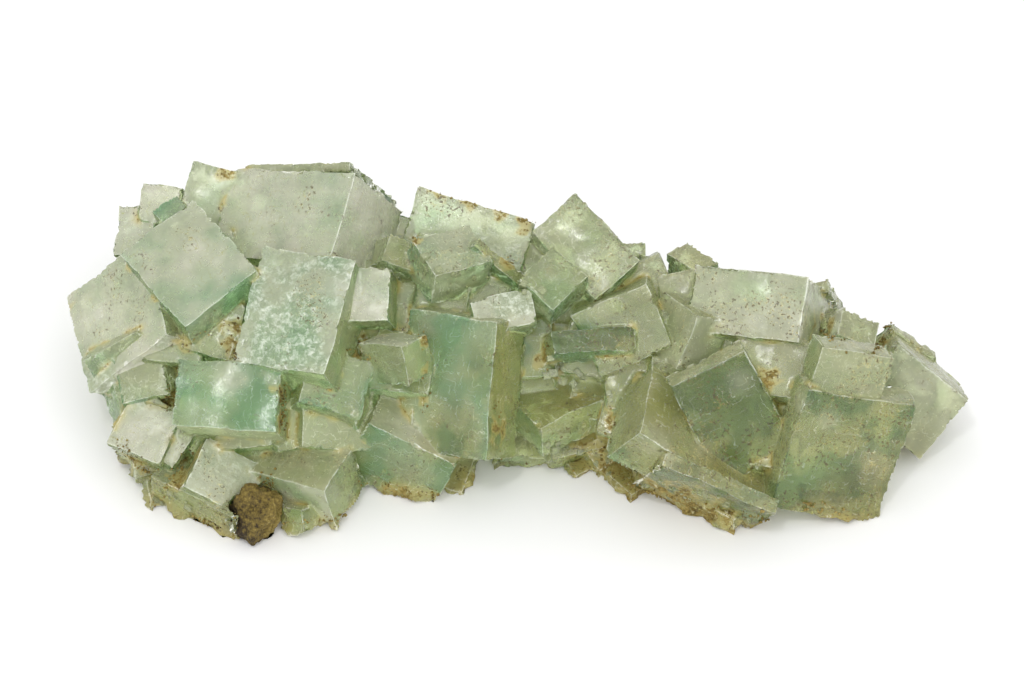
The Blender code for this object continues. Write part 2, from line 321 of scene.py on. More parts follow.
class Sheet:
    """The nodes of one material."""

    def __init__(self, name: str) -> None:
        """Starts a material with only its output.

        Args:
            name: the material's name.
        """
        self.material = bpy.data.materials.new(name)
        self.material.use_nodes = True
        self.tree = self.material.node_tree
        self.tree.nodes.clear()
        self.output = self.tree.nodes.new("ShaderNodeOutputMaterial")

    def node(self, kind: str, settings: dict[str, Any], sockets: dict[Any, Any]) -> Made:
        """Places a node.

        Args:
            kind: the node's type.
            settings: its own settings, set first; `stops` fills a ramp.
            sockets: the value or the link of each input, by name or by number.

        Returns:
            The placed node.
        """
        placed = self.tree.nodes.new(kind)
        for name, value in settings.items():
            if name == "stops":
                self._stops(placed.color_ramp, value)
            else:
                setattr(placed, name, value)
        for name, value in sockets.items():
            socket = placed.inputs[name]
            if isinstance(value, Wire):
                self.tree.links.new(value.socket, socket)
            elif isinstance(value, tuple) and len(value) == 3 and socket.type == "RGBA":
                socket.default_value = (*value, 1.0)
            else:
                socket.default_value = value
        return Made(self, placed)

    @staticmethod
    def _stops(scale: Any, stops: Iterable[tuple[float, Colour]]) -> None:
        """Fills a colour ramp.

        Args:
            scale: the ramp.
            stops: the place and the colour of each stop.
        """
        stops = list(stops)
        while len(scale.elements) < len(stops):
            scale.elements.new(1.0)
        for element, (place, colour) in zip(scale.elements, stops):
            element.position = place
            element.color = (*colour, 1.0)

    def mark(self, mark: Mark) -> Wire:
        """The painted mark as a number."""
        return self.node("ShaderNodeAttribute", {"attribute_name": mark.value}, {})["Fac"]

    def places(self) -> Wire:
        """The point on the piece, in its own space."""
        return self.node("ShaderNodeTexCoord", {}, {})["Object"]

    def noise(self, where: Wire, size: float, detail: float, rough: float, bend: float = 0.0) -> Wire:
        """Noise from 0 to 1.

        Args:
            where: the point on the piece.
            size: the width of its waves, in metres.
            detail: how many finer copies are added.
            rough: how strong each finer copy is.
            bend: how far it is twisted.

        Returns:
            The noise.
        """
        return self.node(
            "ShaderNodeTexNoise",
            {},
            {"Vector": where, "Scale": 1 / size, "Detail": detail, "Roughness": rough, "Distortion": bend},
        )["Fac"]

    def blend(self, share: Wire, first: Any, second: Any) -> Wire:
        """One colour laid over another.

        Args:
            share: how far the second covers the first.
            first: the colour underneath.
            second: the colour on top.

        Returns:
            The mixed colour.
        """
        placed = self.node("ShaderNodeMix", {"data_type": "RGBA", "clamp_factor": True}, {})
        for slot, value in (("Factor_Float", share), ("A_Color", first), ("B_Color", second)):
            socket = next(s for s in placed.node.inputs if s.identifier == slot)
            if isinstance(value, Wire):
                self.tree.links.new(value.socket, socket)
            else:
                socket.default_value = (*value, 1.0) if isinstance(value, tuple) else value
        return Wire(self, next(s for s in placed.node.outputs if s.identifier == "Result_Color"))

    def bump(self, height: Wire, strength: float, distance: float) -> Wire:
        """The normal that a height gives."""
        return self.node(
            "ShaderNodeBump", {}, {"Height": height, "Strength": strength, "Distance": distance}
        )["Normal"]

    def shader(self, sockets: dict[str, Any]) -> Wire:
        """A Principled shader with these inputs."""
        return self.node("ShaderNodeBsdfPrincipled", {}, sockets)["BSDF"]

    def finish(self, surface: Wire, volume: Wire | None = None) -> Any:
        """Links the material's outputs.

        Args:
            surface: its surface shader.
            volume: its volume shader, if it has one.

        Returns:
            The material.
        """
        self.tree.links.new(surface.socket, self.output.inputs["Surface"])
        if volume is not None:
            self.tree.links.new(volume.socket, self.output.inputs["Volume"])
        return self.material


@dataclass(frozen=True)
class ClayFinish:
    """Dry golden-brown clay and iron stain, as a coat on crystal or as a lump."""

    light: Colour = srgb(178, 160, 96)
    main: Colour = srgb(126, 108, 48)
    dark: Colour = srgb(48, 36, 14)
    rough: float = 0.8
    clod: float = 3.5 * MM
    grain: float = 0.7 * MM
    patch: float = 7.0 * MM
    patch_shade: float = 0.8
    # How much darker the lump grows towards the left.
    dark_to_left: float = 0.14

    def coat(self, sheet: Sheet, where: Wire, shade: Wire | float = 0.0) -> Wire:
        """The clay's shader on a sheet.

        Args:
            sheet: the material's nodes.
            where: the point on the piece.
            shade: how far it leans to its dark grains.

        Returns:
            The shader.
        """
        broad = sheet.noise(where, self.clod, 5, 0.6)
        fine = sheet.noise(where, self.grain, 4, 0.7)
        colour = sheet.node(
            "ShaderNodeValToRGB",
            {"stops": ((0.34, self.dark), (0.5, self.main), (0.66, self.light))},
            {"Fac": broad * 0.4 + fine * 0.6 - shade},
        )["Color"]
        relief = sheet.bump(fine, 0.8, 0.35 * MM)
        return sheet.shader({"Base Color": colour, "Roughness": self.rough, "Normal": relief})

    def material(self, name: str) -> Any:
        """The clay as a material of its own.

        Args:
            name: the material's name.

        Returns:
            The material.
        """
        sheet = Sheet(name)
        where = sheet.places()
        patches = (sheet.noise(where, self.patch, 3, 0.6) - 0.5) * self.patch_shade
        # The lump grows darker towards the left.
        return sheet.finish(self.coat(sheet, where, patches + sheet.mark(Mark.DIRT) * self.dark_to_left))


@dataclass(frozen=True)
class CrystalFinish:
    """Cloudy pale green halite: see-through in depth, with haze, tint and clay on its skin, and painted
    highlights on edges and glints.
    """

    pale: Colour = srgb(188, 202, 156)
    teal: Colour = srgb(118, 178, 124)
    olive: Colour = srgb(178, 176, 106)
    moss: Colour = srgb(96, 112, 56)
    haze: Colour = srgb(212, 211, 192)
    # rim is the near-white of the painted highlights on edges, glints and growth-step lines.
    rim: Colour = srgb(244, 247, 238)
    speck: Colour = srgb(58, 46, 20)
    stain: Colour = srgb(180, 164, 88)
    clear_pale: Colour = (0.95, 0.96, 0.80)
    clear_teal: Colour = (0.46, 0.83, 0.53)
    clear_olive: Colour = (0.88, 0.86, 0.46)
    clear_moss: Colour = (0.32, 0.44, 0.18)
    depth: Colour = (0.74, 0.90, 0.52)
    density: float = 22.0
    see_through: float = 0.92
    index: float = 1.544
    mottling: float = 3.0 * MM
    shard: float = 1.3 * MM
    fleck: float = 1.2 * MM
    dust: float = 0.55 * MM
    crackle: float = 1.4 * MM
    crackle_depth: float = 0.4 * MM
    rough: float = 0.15
    frost_rough: float = 0.18
    clay_edge: float = 1.93
    line_cell: float = 8.0 * MM
    line_gap: float = 0.085
    line_bend: tuple[float, float, float] = (5.2 * MM, -4.5 * MM, 0.0)

    def parts(self, sheet: Sheet, where: Wire, grain: Wire, dust: Wire) -> tuple[Wire, Wire, Wire]:
        """The colours and the cover of the skin.

        Args:
            sheet: the material's nodes.
            where: the point on the piece.
            grain: the point on its flat, along the crystal's edges.
            dust: fine noise.

        Returns:
            The frosted skin's colour, the clear body's colour, and how far the frost covers the body.
        """
        veil = sheet.mark(Mark.VEIL)
        mottle = sheet.noise(where, self.mottling, 3, 0.62)
        stained = sheet.mark(Mark.CLAY).over(0.06, 0.75)
        deep = (sheet.mark(Mark.DEEP) * (0.45 + 1.1 * veil) + (veil.over(0.42, 0.72) - 0.3) * 0.3).held()
        olive = (sheet.mark(Mark.OLIVE) * (0.75 + 0.5 * mottle)).held()
        hazy = (sheet.mark(Mark.HAZE) * (1.45 - 0.9 * veil)).held()
        dark = (deep * 1.6 - 0.6).held()
        skin = sheet.blend(
            olive, sheet.blend(deep, self.pale, self.teal), sheet.blend(dark, self.olive, self.moss)
        )
        skin = sheet.blend(hazy, skin, self.haze)
        skin = sheet.blend(stained * 0.8, skin, self.stain)
        lines = self.growth_lines(sheet, grain, mottle)
        # Growth-step outlines are painted darker on hazy faces, as painted shade of the steps, and
        # near-white on clearer faces, as painted highlight.
        skin = sheet.blend(lines * hazy.over(0.2, 0.8) * 0.7, skin, self.olive)
        # The EDGE mark paints near-white lines along the outer edges: painted highlight.
        edge_highlight = sheet.mark(Mark.EDGE) ** 2 * mottle.over(0.25, 0.5)
        # Where the GLINT mark and the veil are strong, near-white patches are painted on: painted glints.
        # The same mark also breaks the relief.
        broken = sheet.mark(Mark.GLINT) * veil.over(0.36, 0.62)
        glint_shards = sheet.noise(where, self.shard, 4, 0.7, 0.4).over(0.42, 0.72) * broken
        flecks = dust.over(0.34, 0.30) * mottle.over(0.45, 0.62)
        # These near-white parts are laid on in the rim colour: painted highlights on edges, glints and
        # lines, and white flecks.
        bright = (lines * hazy.over(0.6, 0.2) * 0.4 + edge_highlight * 0.95 + glint_shards * 0.7 + flecks * 0.2).held()
        body = sheet.blend(
            olive,
            sheet.blend(deep, self.clear_pale, self.clear_teal),
            sheet.blend(dark, self.clear_olive, self.clear_moss),
        )
        frost = (0.22 + hazy * 0.4 + (mottle - 0.5) * 0.25 + bright * 0.5 + stained * 0.4).held()
        return sheet.blend(bright, skin, self.rim), body, frost

    def growth_lines(self, sheet: Sheet, grain: Wire, mottle: Wire) -> Wire:
        """Thin outlines of growth steps, nested round the crystal's own directions.

        Args:
            sheet: the material's nodes.
            grain: the point on its flat, along the crystal's edges.
            mottle: the unevenness that bends the lines.

        Returns:
            How far a line shows.
        """
        bent = sheet.node(
            "ShaderNodeVectorMath",
            {"operation": "MULTIPLY_ADD"},
            {0: mottle, 1: self.line_bend, 2: grain},
        )["Vector"]
        rings = sheet.node(
            "ShaderNodeTexVoronoi",
            {"voronoi_dimensions": "2D", "distance": "CHEBYCHEV"},
            {"Vector": bent, "Scale": 1 / self.line_cell},
        )["Distance"]
        step = {0: rings, 1: self.line_gap}
        steps = sheet.node("ShaderNodeMath", {"operation": "PINGPONG"}, step)["Value"]
        return steps.over(0.011, 0.002) * mottle.over(0.42, 0.56)

    def specks(self, sheet: Sheet, where: Wire, dust: Wire) -> Wire:
        """Where fine dark grains lie.

        Args:
            sheet: the material's nodes.
            where: the point on the piece.
            dust: fine noise.

        Returns:
            How far a grain covers the skin.
        """
        fleck = sheet.noise(where, self.fleck, 2, 0.7)
        few = sheet.mark(Mark.DIRT) + sheet.mark(Mark.CLAY) * 0.3
        fine = dust.over(0.615, 0.655) * few.over(0.5, 0.7)
        coarse = fleck.over(0.64, 0.68) * few.over(0.56, 0.78)
        return (fine + coarse).held()

    def material(self, name: str, clay: ClayFinish) -> Any:
        """The finished material.

        Args:
            name: its name.
            clay: the clay that lies on it.

        Returns:
            The material.
        """
        sheet = Sheet(name)
        where = sheet.places()
        grain = sheet.node("ShaderNodeAttribute", {"attribute_name": GRAIN}, {})["Vector"]
        dust = sheet.noise(where, self.dust, 1, 0.6)
        skin, body, frost = self.parts(sheet, where, grain, dust)
        specks = self.specks(sheet, where, dust)
        fine = sheet.noise(where, self.crackle, 3, 0.72)
        sandy = (fine * 0.4 + dust * 0.6).over(0.5, 0.62) * sheet.mark(Mark.DIRT).over(0.5, 0.95)
        skin = sheet.blend(sandy * 0.55, skin, self.stain)
        skin = sheet.blend(specks * 0.8, skin, self.speck)
        frost = (frost + specks + sandy * 0.4).held()
        relief = sheet.bump(fine * (0.28 + 1.8 * sheet.mark(Mark.GLINT)), 0.5, self.crackle_depth)
        uneven = (fine - 0.4) * 0.35 + sheet.mark(Mark.HAZE) * 0.08 - sheet.mark(Mark.GLINT) * 0.1
        rough = (self.rough + uneven).held()
        clear = sheet.shader({
            "Base Color": body,
            "Roughness": rough,
            "IOR": self.index,
            "Transmission Weight": self.see_through,
            "Normal": relief,
        })
        frosted = sheet.shader({
            "Base Color": skin,
            "Roughness": (rough + self.frost_rough).held(),
            "IOR": self.index,
            "Normal": relief,
        })
        crystal = sheet.node("ShaderNodeMixShader", {}, {0: frost, 1: clear, 2: frosted})["Shader"]
        covered = (sheet.mark(Mark.CLAY) + fine * 1.3 + dust * 1.1 - self.clay_edge).over(0.0, 0.3)
        surface = sheet.node(
            "ShaderNodeMixShader", {}, {0: covered, 1: crystal, 2: clay.coat(sheet, where)}
        )["Shader"]
        depth = sheet.node("ShaderNodeVolumeAbsorption", {}, {"Color": self.depth, "Density": self.density})
        return sheet.finish(surface, depth["Volume"])


@dataclass
class Facets:
    """A closed skin of triangles that knows which flat each belongs to and where the flats meet."""

    points: Array
    faces: Array
    flats: Array
    normals: Array
    axes: Array

    @classmethod
    def of_mesh(cls, mesh: Any) -> "Facets":
        """Reads a mesh with flat faces.

        Args:
            mesh: the mesh to read, which is left as it is.

        Returns:
            Its triangles in metres, grouped by the flat they lie in.
        """
        shape = bmesh.new()
        shape.from_mesh(mesh)
        bmesh.ops.remove_doubles(shape, verts=shape.verts, dist=2e-6)
        bmesh.ops.dissolve_limit(
            shape, angle_limit=math.radians(0.6), verts=shape.verts, edges=shape.edges, delimit=set()
        )
        tag = shape.faces.layers.int.new("flat")
        normals = []
        axes = []
        for number, face in enumerate(shape.faces):
            face[tag] = number
            face.normal_update()
            normals.append(tuple(face.normal))
            axes.append(tuple(cls._grain(face)))
        bmesh.ops.triangulate(shape, faces=shape.faces, quad_method="BEAUTY", ngon_method="BEAUTY")
        shape.verts.ensure_lookup_table()
        points = np.array([tuple(vert.co) for vert in shape.verts])
        faces = np.array([[vert.index for vert in face.verts] for face in shape.faces])
        flats = np.array([face[tag] for face in shape.faces])
        shape.free()
        return cls(points, faces, flats, np.array(normals), np.array(axes))

    @staticmethod
    def _grain(face: Any) -> Vector:
        """The grain of a flat.

        Args:
            face: the flat.

        Returns:
            The direction that most of its edges run along or square to.
        """
        first = (face.verts[1].co - face.verts[0].co).normalized()
        second = face.normal.cross(first)
        total = 0j
        for loop in face.loops:
            way = loop.link_loop_next.vert.co - loop.vert.co
            angle = math.atan2(way.dot(second), way.dot(first))
            total += way.length * complex(math.cos(4 * angle), math.sin(4 * angle))
        turn = math.atan2(total.imag, total.real) / 4
        return first * math.cos(turn) + second * math.sin(turn)

    def edges(self) -> tuple[Array, Array]:
        """Finds the edges.

        Returns:
            The two ends of each edge, each edge once, and the three edges of each triangle.
        """
        ends = np.concatenate([self.faces[:, [0, 1]], self.faces[:, [1, 2]], self.faces[:, [2, 0]]])
        ends = np.sort(ends, axis=1)
        key = ends[:, 0].astype(np.int64) * (len(self.points) + 1) + ends[:, 1]
        _, first, index = np.unique(key, return_index=True, return_inverse=True)
        return ends[first], index.reshape(3, -1).T

    def folds(self) -> tuple[Array, Array, Array]:
        """The edges, with how far each is bent: above 0 where it stands out, below where it is a crevice.

        Returns:
            The edges, the bend of each in radians, and the three edges of each triangle.
        """
        ends, sides = self.edges()
        count = len(ends)
        face_of = np.full((count, 2), -1)
        flat_side = sides.reshape(-1)
        owner = np.repeat(np.arange(len(self.faces)), 3)
        order = np.argsort(flat_side, kind="stable")
        flat_side, owner = flat_side[order], owner[order]
        start = np.searchsorted(flat_side, np.arange(count))
        face_of[:, 0] = owner[start]
        nxt = np.minimum(start + 1, len(owner) - 1)
        face_of[:, 1] = np.where(flat_side[nxt] == np.arange(count), owner[nxt], owner[start])
        one = self.normals[self.flats[face_of[:, 0]]]
        two = self.normals[self.flats[face_of[:, 1]]]
        angle = np.arccos(np.clip((one * two).sum(1), -1, 1))
        centre = self.points[self.faces].mean(axis=1)
        across = centre[face_of[:, 1]] - centre[face_of[:, 0]]
        outward = (across * one).sum(1) < 0
        return ends, np.where(outward, angle, -angle), sides

    def refine(self, steps: Array, fold_share: float, passes: int = 22) -> Array:
        """Splits long edges, the longest of each triangle first, until all are short enough.

        Args:
            steps: the longest edge on each flat.
            fold_share: the share of that length an edge may have where it touches a fold.
            passes: the most rounds.

        Returns:
            The bend at each point: of the sharpest fold it lies on, or 0.
        """
        ends, _ = self.edges()
        turns = self.fold_turns()
        at_fold = np.zeros(len(self.points))
        for (a, b), turn in zip(ends, turns):
            for end in (a, b):
                if abs(turn) > abs(at_fold[end]):
                    at_fold[end] = turn
        for _ in range(passes):
            ends, sides = self.edges()
            turns = self.fold_turns()
            length = np.linalg.norm(self.points[ends[:, 0]] - self.points[ends[:, 1]], axis=1)
            touches = (at_fold[ends] != 0).any(axis=1)
            longest = sides[np.arange(len(sides)), length[sides].argmax(axis=1)]
            limit = steps[self.flats] * np.where(touches[longest], fold_share, 1.0)
            cut = np.zeros(len(ends), bool)
            cut[longest[length[longest] > limit]] = True
            if not cut.any():
                break
            at_fold = np.concatenate([at_fold, turns[cut]])
            self._split(sides, cut, self.points[ends].mean(axis=1))
        return at_fold

    def fold_turns(self) -> Array:
        """The bend of each edge, or 0 where it is next to nothing."""
        _, bend, _ = self.folds()
        return np.where(np.abs(bend) > 0.15, bend, 0.0)

    def _split(self, sides: Array, cut: Array, middle: Array) -> None:
        """Splits the marked edges and the triangles beside them.

        Args:
            sides: the three edges of each triangle.
            cut: which edges are split.
            middle: the middle of every edge.
        """
        number = np.full(len(cut), -1)
        number[cut] = len(self.points) + np.arange(cut.sum())
        self.points = np.concatenate([self.points, middle[cut]])
        mids = number[sides]
        marked = mids >= 0
        count = marked.sum(axis=1)
        faces = [self.faces[count == 0]]
        flats = [self.flats[count == 0]]

        def keep(rows: Array, *corners: Array) -> None:
            """Adds a triangle for each of these rows."""
            faces.append(np.stack([corner[rows] for corner in corners], axis=1))
            flats.append(self.flats[rows])

        for turn in range(3):
            a, b, c = (self.faces[:, (turn + k) % 3] for k in range(3))
            ab, bc, ca = (mids[:, (turn + k) % 3] for k in range(3))
            one = (count == 1) & (ab >= 0)
            keep(one, ab, b, c)
            keep(one, a, ab, c)
            two = (count == 2) & (ab >= 0) & (bc >= 0)
            keep(two, ab, b, bc)
            first = np.linalg.norm(self.points[ab] - self.points[c], axis=1)
            second = np.linalg.norm(self.points[bc] - self.points[a], axis=1)
            near = two & (first <= second)
            keep(near, a, ab, c)
            keep(near, ab, bc, c)
            far = two & (first > second)
            keep(far, a, bc, c)
            keep(far, a, ab, bc)
        three = count == 3
        a, b, c = (self.faces[:, k] for k in range(3))
        ab, bc, ca = (mids[:, k] for k in range(3))
        for corners in ((a, ab, ca), (ab, b, bc), (ca, bc, c), (ab, bc, ca)):
            keep(three, *corners)
        self.faces = np.concatenate(faces)
        self.flats = np.concatenate(flats)

    def homes(self) -> Array:
        """The home of each point.

        Returns:
            For each point, the flat with the largest triangle at it.
        """
        corners = self.points[self.faces]
        area = np.linalg.norm(np.cross(corners[:, 1] - corners[:, 0], corners[:, 2] - corners[:, 0]), axis=1)
        home = np.zeros(len(self.points), int)
        for place in np.argsort(area, kind="stable"):
            home[self.faces[place]] = self.flats[place]
        return home

    def soften(self, weights: Array, rounds: int) -> None:
        """Moves each point towards the middle of its neighbours.

        Args:
            weights: the share of the way that each point goes in a round.
            rounds: how often.
        """
        ends, _ = self.edges()
        count = np.bincount(ends.reshape(-1), minlength=len(self.points))[:, None]
        for _ in range(rounds):
            total = np.zeros_like(self.points)
            for k in range(3):
                total[:, k] = np.bincount(ends[:, 0], self.points[ends[:, 1], k], len(self.points))
                total[:, k] += np.bincount(ends[:, 1], self.points[ends[:, 0], k], len(self.points))
            self.points = self.points + (total / count - self.points) * weights[:, None]

    def point_normals(self) -> Array:
        """The normal at each point.

        Returns:
            The normals, from the triangles beside each point, weighed by their area.
        """
        corners = self.points[self.faces]
        way = np.cross(corners[:, 1] - corners[:, 0], corners[:, 2] - corners[:, 0])
        total = np.zeros_like(self.points)
        for k in range(3):
            np.add.at(total, self.faces[:, k], way)
        return total / np.maximum(np.linalg.norm(total, axis=1), 1e-15)[:, None]


def distance_to(points: Array, targets: Array, most: float) -> Array:
    """How far each point is from the nearest target.

    Args:
        points: the places asked about.
        targets: the places measured to.
        most: the value where there is no target.

    Returns:
        The distances.
    """
    if not len(targets):
        return np.full(len(points), most)
    tree = KDTree(len(targets))
    for number, target in enumerate(targets):
        tree.insert(target, number)
    tree.balance()
    return np.array([tree.find(point)[2] for point in points])


def mesh_object(name: str, points: Array, faces: Array) -> Any:
    """A smooth mesh object from arrays.

    Args:
        name: the object's name.
        points: its points, in metres.
        faces: its triangles.

    Returns:
        The object, in the scene.
    """
    mesh = bpy.data.meshes.new(name)
    mesh.from_pydata(points.tolist(), [], faces.tolist())
    mesh.shade_smooth()
    mesh.update()
    made = bpy.data.objects.new(name, mesh)
    bpy.context.scene.collection.objects.link(made)
    return made


def grounded(moved: Array, points: Array) -> Array:
    """Keeps a moved skin on its flat cut and above the floor.

    Args:
        moved: the moved points.
        points: where they were before, in metres.

    Returns:
        The moved points, with none below the floor and those of the cut back on it.
    """
    height = np.where(points[:, 2] < GROUND, 0.0, np.maximum(moved[:, 2], 0.0))
    return np.column_stack([moved[:, :2], height])


def paint_mark(made: Any, mark: Mark, domain: str, values: Array) -> None:
    """Paints a mark on a piece.

    Args:
        made: the piece.
        mark: the mark.
        domain: where its values lie, "POINT" or "CORNER".
        values: its amounts, kept between 0 and 1.
    """
    layer = made.data.attributes.new(mark.value, "FLOAT", domain)
    layer.data.foreach_set("value", np.clip(values, 0, 1).astype(np.float32).reshape(-1))


@dataclass
class CrystalSkin:
    """The grown skin of the cluster: fine triangles, terraces, chipped and rubbed edges and painted marks.
    """

    station: Station
    node: str = "crystal_cluster"
    seen_step: float = 0.0013
    back_step: float = 0.0021
    base_step: float = 0.006
    fold_share: float = 0.66
    terrace_cell: float = 3.6
    terrace_height: float = 0.1
    grit: Waves = Waves(1.5, 3.1, 3)
    grit_height: float = 0.015
    swell: Waves = Waves(9.0, 8.7)
    swell_height: float = 0.14
    chips: Waves = Waves(2.2, 21.0, 2)
    chipped: Waves = Waves(9.0, 27.0)
    chip_depth: float = 0.9
    chip_reach: float = 0.5
    notch_cell: float = 2.3
    notch_depth: float = 1.2
    notch_reach: float = 0.55
    wear_depth: float = 0.09
    wear_reach: float = 0.35
    crust: Waves = Waves(3.0, 40.0, 3)
    crust_height: float = 0.4
    crust_change: float = 1.3
    broken: Waves = Waves(2.8, 61.0, 2)
    broken_height: float = 0.45
    clay_height: float = 0.15
    clay_reach: float = 0.9
    patches: Waves = Waves(7.0, 55.0, 3)
    ragged: Waves = Waves(2.6, 17.0, 2)
    seams: Waves = Waves(5.0, 71.0, 2)
    veils: Waves = Waves(8.0, 91.0, 5)
    dirt: Waves = Waves(7.0, 33.0, 4)
    same_plane: float = 0.00006
    fold_seen: float = 0.3
    fold_highlit: float = 0.5
    fillet: float = 0.9
    fillet_rounds: int = 5
    crisp: float = math.radians(42)
    lean_size: float = 9.0
    lean: float = 0.5
    wander_size: float = 3.2
    wander: float = 0.14

    def steps(self, skin: Facets) -> Array:
        """The longest edge that each flat may have.

        Args:
            skin: the facets.

        Returns:
            The lengths: short on the side that is seen most, long on the flat cut.
        """
        seen = skin.normals @ np.array(self.station.towards()) > 0.02
        step = np.where(seen, self.seen_step, self.back_step)
        lowest = np.full(len(skin.normals), 1.0)
        np.minimum.at(lowest, skin.flats, skin.points[skin.faces][:, :, 2].max(axis=1))
        return np.where((skin.normals[:, 2] < -0.99) & (lowest < GROUND), self.base_step, step)

    def build(self) -> Any:
        """Makes the skin as an object.

        Returns:
            The object, which stands for the CAD node.
        """
        skin = Facets.of_mesh(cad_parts[self.node].data)
        tree = BVHTree.FromPolygons(skin.points.tolist(), skin.faces.tolist())
        flats, planes = skin.flats, (skin.points[skin.faces[:, 0]] * skin.normals[skin.flats]).sum(1)
        tones = self.tones(tree, flats, planes, skin.normals)
        bend = skin.refine(self.steps(skin), self.fold_share)
        points = skin.points
        homes = skin.homes()
        outer = distance_to(points, points[bend > self.fold_seen], 1.0) / MM
        inner = distance_to(points, points[bend < -self.fold_seen], 1.0) / MM
        marks = self.paint(skin, tones, outer, inner, bend, tree)
        clay, glint = np.zeros(len(points)), np.zeros(len(points))
        clay[skin.faces.reshape(-1)] = marks[Mark.CLAY].reshape(-1)
        glint[skin.faces.reshape(-1)] = marks[Mark.GLINT].reshape(-1)
        normals = skin.point_normals()
        height = self.relief(skin, normals, homes, outer, inner, clay, glint)
        skin.soften(0.75 * np.exp(-inner / self.fillet), self.fillet_rounds)
        moved = skin.points + normals * (height * MM)[:, None]
        moved = sway(moved, self.lean_size, self.lean) + sway(moved, self.wander_size, self.wander) - moved
        made = mesh_object("crystals", grounded(moved, points), skin.faces)
        made.data.set_sharp_from_angle(angle=self.crisp)
        for mark, values in marks.items():
            paint_mark(made, mark, "CORNER", values)
        grain = made.data.attributes.new(GRAIN, "FLOAT_VECTOR", "CORNER")
        grain.data.foreach_set("vector", self.grain(skin).astype(np.float32).reshape(-1))
        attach(made, "root")
        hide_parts(self.node)
        return made

    def tones(self, tree: BVHTree, flats: Array, planes: Array, normals: Array) -> dict[Mark, Array]:
        """The pigments of every flat.

        Args:
            tree: the solid, for finding which flat a tone lands on.
            flats: the flat of each of its triangles.
            planes: how far each triangle's plane is from the origin.
            normals: the normal of each flat.

        Returns:
            For each mark, its amount on each flat.
        """
        up = normals[:, 2]
        chance = np.random.default_rng(5).random(len(normals))
        # Flats that face up start hazier and paler, flats that face down start deeper and darker: partly the
        # crystal's frost and depth, partly painted light and shade.
        amounts = {
            Mark.HAZE: ramp(up, 0.3, 1.0) * 0.3,
            Mark.DEEP: ramp(up, 0.7, -0.2) * 0.5,
            Mark.OLIVE: np.full(len(normals), 0.3) + 0.2 * (chance - 0.5),
            Mark.GLINT: np.zeros(len(normals)),
        }
        plane_of = np.zeros(len(normals))
        plane_of[flats] = planes
        for tone in TONES:
            centre, _, face, _ = self.station.landing(tone.across, tone.down, tree)
            if centre is None:
                LOG.warning("a tone lands nowhere: %s", tone)
                continue
            own = flats[face]
            alike = (normals @ normals[own] > 0.9998) & (np.abs(plane_of - plane_of[own]) < self.same_plane)
            for mark in (Mark.HAZE, Mark.DEEP, Mark.OLIVE, Mark.GLINT):
                amounts[mark][alike] = tone.share(mark)
        return amounts

    def grain(self, skin: Facets) -> Array:
        """Where each corner of each triangle lies in its own flat.

        Args:
            skin: the facets.

        Returns:
            Two distances along the flat, in metres, and a depth that keeps the flats apart.
        """
        corners = skin.points[skin.faces]
        first = skin.axes[skin.flats][:, None, :]
        second = np.cross(skin.normals[skin.flats], skin.axes[skin.flats])[:, None, :]
        depth = np.broadcast_to((skin.flats * 0.0173)[:, None], corners.shape[:2])
        return np.stack([(corners * first).sum(2), (corners * second).sum(2), depth], axis=2)

    def relief(
        self,
        skin: Facets,
        normals: Array,
        homes: Array,
        outer: Array,
        inner: Array,
        clay: Array,
        glint: Array,
    ) -> Array:
        """How far each point stands out from its flat, in mm.

        Args:
            skin: the facets.
            normals: the normal at each point.
            homes: the flat that each point lies on.
            outer: the distance to the nearest outer edge, in mm.
            inner: the distance to the nearest crevice, in mm.
            clay: the clay at each point.
            glint: how broken the flat is at each point.

        Returns:
            The heights.
        """
        points = skin.points
        first = skin.axes[homes]
        second = np.cross(skin.normals[homes], first)
        local = np.stack([(points * first).sum(1), (points * second).sum(1)], axis=1) / MM
        steps = terraces(local, homes, self.terrace_cell)
        fine = self.grit.at(points)
        keep = ramp(outer, 0.2, 1.3) * ramp(inner, 0.0, 0.8)
        height = (steps - 0.5) * self.terrace_height * keep
        height += fine * self.grit_height * ramp(outer, 0.1, 0.6)
        height += self.swell.at(points) * self.swell_height
        chip = ramp(self.chips.at(points), 0.1, 0.6)
        chipped = ramp(self.chipped.at(points), -0.35, 0.35)
        height -= self.chip_depth * chip * chipped * np.exp(-outer / self.chip_reach)
        notches = ramp(terraces(local, homes, self.notch_cell), 0.3, 1.0)
        aside = ramp(normals @ np.array(self.station.towards()), 0.8, 0.4)
        height -= self.notch_depth * notches * aside * np.exp(-outer / self.notch_reach)
        height -= self.wear_depth * np.exp(-outer / self.wear_reach)
        rim = ramp(points[:, 2] / MM, 5.0, 0.5) * ramp(normals[:, 2], 0.75, 0.3)
        height += rim * (self.crust_height + self.crust_change * self.crust.at(points))
        height += glint * keep * (self.broken_height * self.broken.at(points) + 0.15 * fine)
        height += clay * (self.clay_height + 0.3 * fine) * np.exp(-inner / self.clay_reach)
        return height

